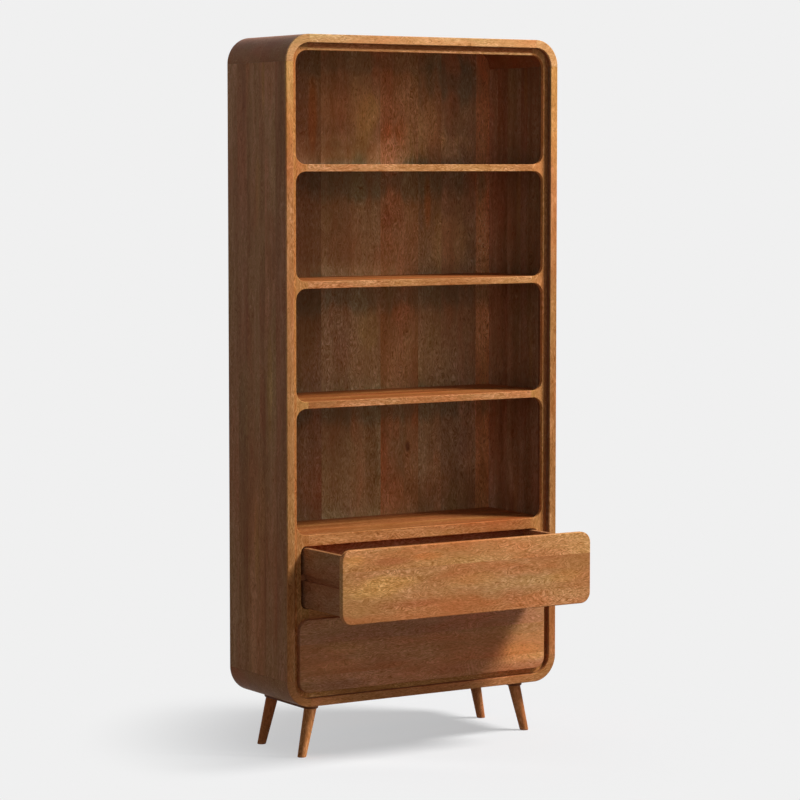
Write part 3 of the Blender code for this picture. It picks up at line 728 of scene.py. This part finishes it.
def openings():
    """Floor, roof, edge, and radii at the roof and the floor of each opening, from the top down."""
    roofs = [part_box("rail_top")[0].z] + [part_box(f"shelf_{i}")[0].z for i in (1, 2, 3)]
    floors = [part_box(f"shelf_{i}")[1].z for i in (1, 2, 3, 4)]
    rows = []
    for i, (floor, roof) in enumerate(zip(floors, roofs)):
        upper = TOP_OPENING_RADIUS if i == 0 else SHELF_OPENING_RADIUS
        rows.append((floor, roof, SHELF_OPENING_EDGE, upper, SHELF_OPENING_RADIUS))
    sills = [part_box("rail_between_drawers")[1].z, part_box("rail_bottom")[1].z]
    heads = [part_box("shelf_4")[0].z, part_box("rail_between_drawers")[0].z]
    for floor, roof in zip(sills, heads):
        rows.append((floor, roof, DRAWER_OPENING_EDGE, DRAWER_OPENING_RADIUS, DRAWER_OPENING_RADIUS))
    return rows


def build_frame():
    radius = CORNER_RADIUS - WALL
    outline = [
        (EAR_SEAM, FRAME_LOW),
        *arc((CORNER_CENTRE, FRAME_LOW + radius), radius, -90, 0, CASE_ARC_STEPS),
        *arc((CORNER_CENTRE, FRAME_HIGH - radius), radius, 0, 90, CASE_ARC_STEPS),
        (EAR_SEAM, FRAME_HIGH),
    ]
    eased = []
    for floor, roof, edge, upper, lower in openings():
        begin = len(outline)
        outline.append((EAR_SEAM, roof))
        outline += arc((edge - upper, roof - upper), upper, 90, 0, OPENING_ARC_STEPS)
        outline += arc((edge - lower, floor + lower), lower, 0, -90, OPENING_ARC_STEPS)
        outline.append((EAR_SEAM, floor))
        eased += range(begin, len(outline) - 1)
    for i, (name, side) in enumerate(SIDES):
        node = f"stile_{name}"
        wood = make_wood(
            f"{node}_wood", EDGE, "Z", "X", SEEDS["stile"] + i, STILE_PLANKS_AND_PAINTED_SHADE[name], patches=0.6
        )
        solid(
            node, mirrored(outline, side), "Y", (FRAME_FACE, FRAME_BACK), wood,
            start=eased, ease=FRAME_EASE,
        )
    # Of a rail's section, point 0 is the low front edge and point 3 the high front edge.
    for i, (name, along) in enumerate((("top", (0,)), ("between_drawers", (0, 3)), ("bottom", (3,)))):
        planks = TOP_RAIL_PAINTED_SHADING if name == "top" else None
        wood = make_wood(f"rail_{name}_wood", EDGE, "X", "Z", SEEDS["rail"] + i, planks)
        board(f"rail_{name}", "X", wood, along=along, ease=FRAME_EASE)


def build_shelves():
    for i in (1, 2, 3, 4):
        node = f"shelf_{i}"
        low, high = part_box(node)
        notch = FRAME_BACK + FIT_GAP
        outline = [
            (-EAR_SEAM, low.y), (EAR_SEAM, low.y), (EAR_SEAM, notch), (high.x, notch),
            (high.x, high.y), (low.x, high.y), (low.x, notch), (-EAR_SEAM, notch),
        ]
        planks = LOW_SHELF_PLANKS if i == 4 else SHELF_PLANKS
        seed = SEEDS["shelf"] + SHELF_SEED_STEP * i
        wood = make_wood(f"{node}_wood", SHELF, "X", "Y", seed, planks, streaks=2.0)
        solid(
            node, outline, "Z", (low.z, high.z), wood,
            start=(0,), end=(0,), ease=FRAME_EASE,
        )


# The base


def build_base():
    for i, (name, side) in enumerate(SIDES):
        node = f"base_rail_{name}"
        low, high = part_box(node)
        half = (high.x - low.x) / 2
        middle = (high.x + low.x) / 2
        outline = [
            *arc((middle, high.y - half), half, 0, 180, CASE_ARC_STEPS),
            *arc((middle, low.y + half), half, 180, 360, CASE_ARC_STEPS),
        ]
        wood = make_wood(f"{node}_wood", BASE, "Y", "X", SEEDS["base_rail"] + i)
        solid(
            node, outline, "Z", (low.z, high.z), wood,
            start=range(len(outline)), ease=BASE_EASE,
        )
        for j, (end_name, end) in enumerate(ENDS):
            build_leg(f"leg_{end_name}_{name}", side, end, SEEDS["leg"] + 2 * i + j)


def build_leg(node, side, end, seed):
    """A tapered leg between the middles of its node's foot and top, with a rounded foot."""
    low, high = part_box(node)
    foot = Vector((
        high.x - LEG_FOOT_RADIUS if side > 0 else low.x + LEG_FOOT_RADIUS,
        low.y + LEG_FOOT_RADIUS if end < 0 else high.y - LEG_FOOT_RADIUS,
        low.z,
    ))
    top = Vector((
        low.x + LEG_TOP_RADIUS if side > 0 else high.x - LEG_TOP_RADIUS,
        high.y - LEG_TOP_RADIUS if end < 0 else low.y + LEG_TOP_RADIUS,
        high.z,
    ))
    stations = []
    for step in range(EASE_STEPS + 1):
        angle = math.pi / 2 * step / EASE_STEPS
        rise = FOOT_EASE * (1 - math.cos(angle))
        stations.append((rise, FOOT_EASE * (1 - math.sin(angle))))
    stations.append((high.z - low.z, 0.0))
    shape = bmesh.new()
    rows = []
    for rise, inset in stations:
        share = rise / (high.z - low.z)
        centre = foot.lerp(top, share)
        radius = LEG_FOOT_RADIUS + (LEG_TOP_RADIUS - LEG_FOOT_RADIUS) * share - inset
        ring = arc(centre.xy, radius, 0, 360, LEG_SIDES)[:-1]
        rows.append([shape.verts.new((x, y, centre.z)) for x, y in ring])
    for row, following in zip(rows, rows[1:]):
        for k in range(LEG_SIDES):
            m = (k + 1) % LEG_SIDES
            shape.faces.new((row[k], row[m], following[m], following[k]))
    shape.faces.new(list(reversed(rows[0])))
    shape.faces.new(rows[-1])
    wood = make_wood(f"{node}_wood", LEG, "Z", "X", seed)
    finish_mesh(f"{node}_dressed", shape, wood, "case", node)


# The drawers


def build_drawer(level):
    body = f"drawer_{level}"
    seed = SEEDS[level]
    node = f"{body}_front"
    low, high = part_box(node)
    tall = high.z - low.z
    planks = [(low.z + share * tall, factors) for share, factors in FRONT_PLANKS[level]]
    wood = make_wood(
        f"{node}_wood", FRONT, "X", "Z", seed, planks, streaks=FRONT_STREAKS,
        flecks=FRONT_FLECKS[level], marks=FRONT_MARKS[level], swirls=FRONT_SWIRLS[level],
    )
    outline = rounded_rectangle(high.x, low.z, high.z, FRONT_CORNER_RADIUS, OPENING_ARC_STEPS)
    solid(
        node, outline, "Y", (low.y, high.y), wood, body,
        start=range(len(outline)), ease=FRONT_EASE,
    )

    for i, (name, side) in enumerate(SIDES):
        node = f"{body}_side_{name}"
        low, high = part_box(node)
        inner, outer = (low.x, high.x) if side > 0 else (high.x, low.x)
        groove = outer - side * GROOVE_DEPTH
        middle = (low.z + high.z) / 2
        groove_low = middle - GROOVE_HEIGHT / 2
        groove_high = middle + GROOVE_HEIGHT / 2
        outline = [
            (outer, low.z), (outer, groove_low), (groove, groove_low),
            (groove, groove_high), (outer, groove_high), (outer, high.z),
            (inner, high.z), (inner, low.z),
        ]
        wood = make_wood(f"{node}_wood", BOX, "Y", "Z", seed + 3 + i)
        solid(
            node, outline, "Y", (low.y, high.y), wood, body,
            along=(0, 5, 6, 7), ease=BOX_EASE,
        )
    for i, name in enumerate(("inner_front", "back")):
        node = f"{body}_{name}"
        board(node, "X", make_wood(f"{node}_wood", BOX, "X", "Z", seed + 6 + i), body)
    node = f"{body}_bottom"
    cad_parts[node].data.materials[0] = make_wood(f"{node}_wood", BOX, "X", "Y", seed + 9)


def dress_hardware():
    for name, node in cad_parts.items():
        if "screw" in name or "bolt" in name:
            node.data.materials[0] = STEEL
        elif name.startswith("runner"):
            seed = len(name) * NAME_SEED_STEP + name.startswith("runner_spacer")
            node.data.materials[0] = make_wood(f"{name}_wood", BOX, "Y", "Z", seed)


build_case()
build_frame()
build_shelves()
build_base()
build_drawer("upper")
build_drawer("lower")
dress_hardware()

# The studio

BACKGROUND = srgb(240, 240, 240)
AMBIENT = (0.90, 0.98, 1.10)
AMBIENT_STRENGTH = 0.06
KEY_PLACE = Vector((2.97, -2.24, 4.30))
KEY_AIM = Vector((0.0, 0.0, 0.95))
KEY_WIDTH = 1.60
KEY_POWER = 312.0
# Soft suns: direction, strength and angle.
FILLS = {
    "front_fill": (Vector((0.33, -0.90, 0.28)), 0.28, 50),
    "near_fill": (Vector((-0.80, -0.58, 0.10)), 0.30, 50),
    "left_fill": (Vector((-0.87, 0.47, 0.10)), 0.18, 60),
    "back_fill": (Vector((0.10, 1.00, 0.30)), 0.30, 60),
}
FILL_DISTANCE = 5.0
# A small lamp low at the front right, which reaches the near leg under the open drawer.
LEG_LAMP_PLACE = Vector((1.94, -1.97, 0.30))
LEG_LAMP_AIM = Vector((-0.36, -0.05, 0.045))
LEG_LAMP_POWER = 430.0
LEG_LAMP_CONE = 4.2
LEG_LAMP_RADIUS = 0.05
FLOOR_SIZE = 12.0
FLOOR_CELLS = 12
FLOOR_DROP = 0.0005
FLOOR_SHADE = 0.48
FLOOR_BOUNCE = (0.21, 0.21, 0.21)
SHADOW_MIDDLE = (0.1, 0.1, 0.0)
SHADOW_REACH = (0.35, 0.95)
LENS = 133.559
SENSOR_WIDTH = 36.0
CAMERA_PLACE = (-4.0639, -6.3385, 1.4807)
CAMERA_TILT = 4.5346
CAMERA_TURN = -32.3606


def add_lamp(name, kind, place, direction):
    """Links a lamp that shines from its place against the direction, and gives its data."""
    data = bpy.data.lights.new(name, kind)
    lamp = bpy.data.objects.new(name, data)
    lamp.location = place
    lamp.rotation_euler = direction.to_track_quat("Z", "Y").to_euler()
    bpy.context.scene.collection.objects.link(lamp)
    return data


def light_studio():
    """A large round softbox high up at the front right, soft suns around, and the leg lamp."""
    key = add_lamp("key", "AREA", KEY_PLACE, KEY_PLACE - KEY_AIM)
    key.shape = "DISK"
    key.size = KEY_WIDTH
    key.energy = KEY_POWER
    for name, (direction, strength, degrees) in FILLS.items():
        sun = add_lamp(name, "SUN", direction * FILL_DISTANCE, direction)
        sun.color = AMBIENT
        sun.energy = strength
        sun.angle = math.radians(degrees)
    lamp = add_lamp("leg_lamp", "SPOT", LEG_LAMP_PLACE, LEG_LAMP_PLACE - LEG_LAMP_AIM)
    lamp.energy = LEG_LAMP_POWER
    lamp.spot_size = math.radians(LEG_LAMP_CONE)
    lamp.spot_blend = 1.0
    lamp.shadow_soft_size = LEG_LAMP_RADIUS


def make_world():
    world = bpy.data.worlds.new("studio")
    bpy.context.scene.world = world
    world.use_nodes = True
    world.node_tree.nodes.clear()
    t = Tree(world.node_tree)
    room = t.add("ShaderNodeBackground", {"Color": rgba(AMBIENT), "Strength": AMBIENT_STRENGTH})
    pale = t.add("ShaderNodeBackground", {"Color": rgba(BACKGROUND), "Strength": 1.0})
    mixed = t.add("ShaderNodeMixShader", {0: t.seen_ray(), 1: room.outputs[0], 2: pale.outputs[0]})
    t.add("ShaderNodeOutputWorld", {0: mixed.outputs[0]})


def floor_light(t, place):
    """The light that reaches open floor at a place, as the brightness it gives a white surface."""
    ray = t.vector("SUBTRACT", tuple(KEY_PLACE), place)
    square = t.number("DOT_PRODUCT", ray, ray)
    facing = t.number("DOT_PRODUCT", ray, tuple((KEY_PLACE - KEY_AIM).normalized()))
    power = KEY_POWER * KEY_PLACE.z / math.pi**2
    key = t.math("DIVIDE", t.math("MULTIPLY", facing, power), t.math("POWER", square, 2.0))
    rest = AMBIENT_STRENGTH * AMBIENT[1]
    rest += sum(strength * direction.normalized().z for direction, strength, _ in FILLS.values()) / math.pi
    return t.math("ADD", key, rest)


def make_floor():
    """A pale floor that looks like the backdrop, but for the shadow around the object."""
    shape = bmesh.new()
    bmesh.ops.create_grid(shape, x_segments=FLOOR_CELLS, y_segments=FLOOR_CELLS, size=FLOOR_SIZE / 2)
    mesh = bpy.data.meshes.new("floor")
    shape.to_mesh(mesh)
    shape.free()
    floor = bpy.data.objects.new("floor", mesh)
    floor.location.z = -FLOOR_DROP
    bpy.context.scene.collection.objects.link(floor)

    material = bpy.data.materials.new("floor")
    material.use_nodes = True
    material.node_tree.nodes.clear()
    t = Tree(material.node_tree)
    place = t.object_place()
    distance = t.number("LENGTH", t.vector("SUBTRACT", place, SHADOW_MIDDLE))
    near = t.map_range(distance, *SHADOW_REACH, 1.0, 0.0, "SMOOTHSTEP")
    shade = t.math("MULTIPLY", near, FLOOR_SHADE)
    glow = t.math("SUBTRACT", BACKGROUND[0], t.math("MULTIPLY", shade, floor_light(t, place)))
    diffuse = t.add("ShaderNodeBsdfDiffuse", {"Color": t.combine(shade, shade, shade)})
    emission = t.add("ShaderNodeEmission", {"Color": t.combine(glow, glow, glow), "Strength": 1.0})
    seen = t.add("ShaderNodeAddShader", {0: diffuse.outputs[0], 1: emission.outputs[0]})
    bounce = t.add("ShaderNodeBsdfDiffuse", {"Color": rgba(FLOOR_BOUNCE)})
    mixed = t.add("ShaderNodeMixShader", {0: t.seen_ray(), 1: bounce.outputs[0], 2: seen.outputs[0]})
    t.add("ShaderNodeOutputMaterial", {0: mixed.outputs[0]})
    mesh.materials.append(material)


def make_camera():
    data = bpy.data.cameras.new("camera")
    data.lens = LENS
    data.sensor_width = SENSOR_WIDTH
    camera = bpy.data.objects.new("camera", data)
    camera.location = CAMERA_PLACE
    camera.rotation_euler = (math.radians(90 - CAMERA_TILT), 0.0, math.radians(CAMERA_TURN))
    bpy.context.scene.collection.objects.link(camera)
    bpy.context.scene.camera = camera


light_studio()
make_world()
make_floor()
make_camera()
bpy.context.scene.view_settings.view_transform = "Standard"
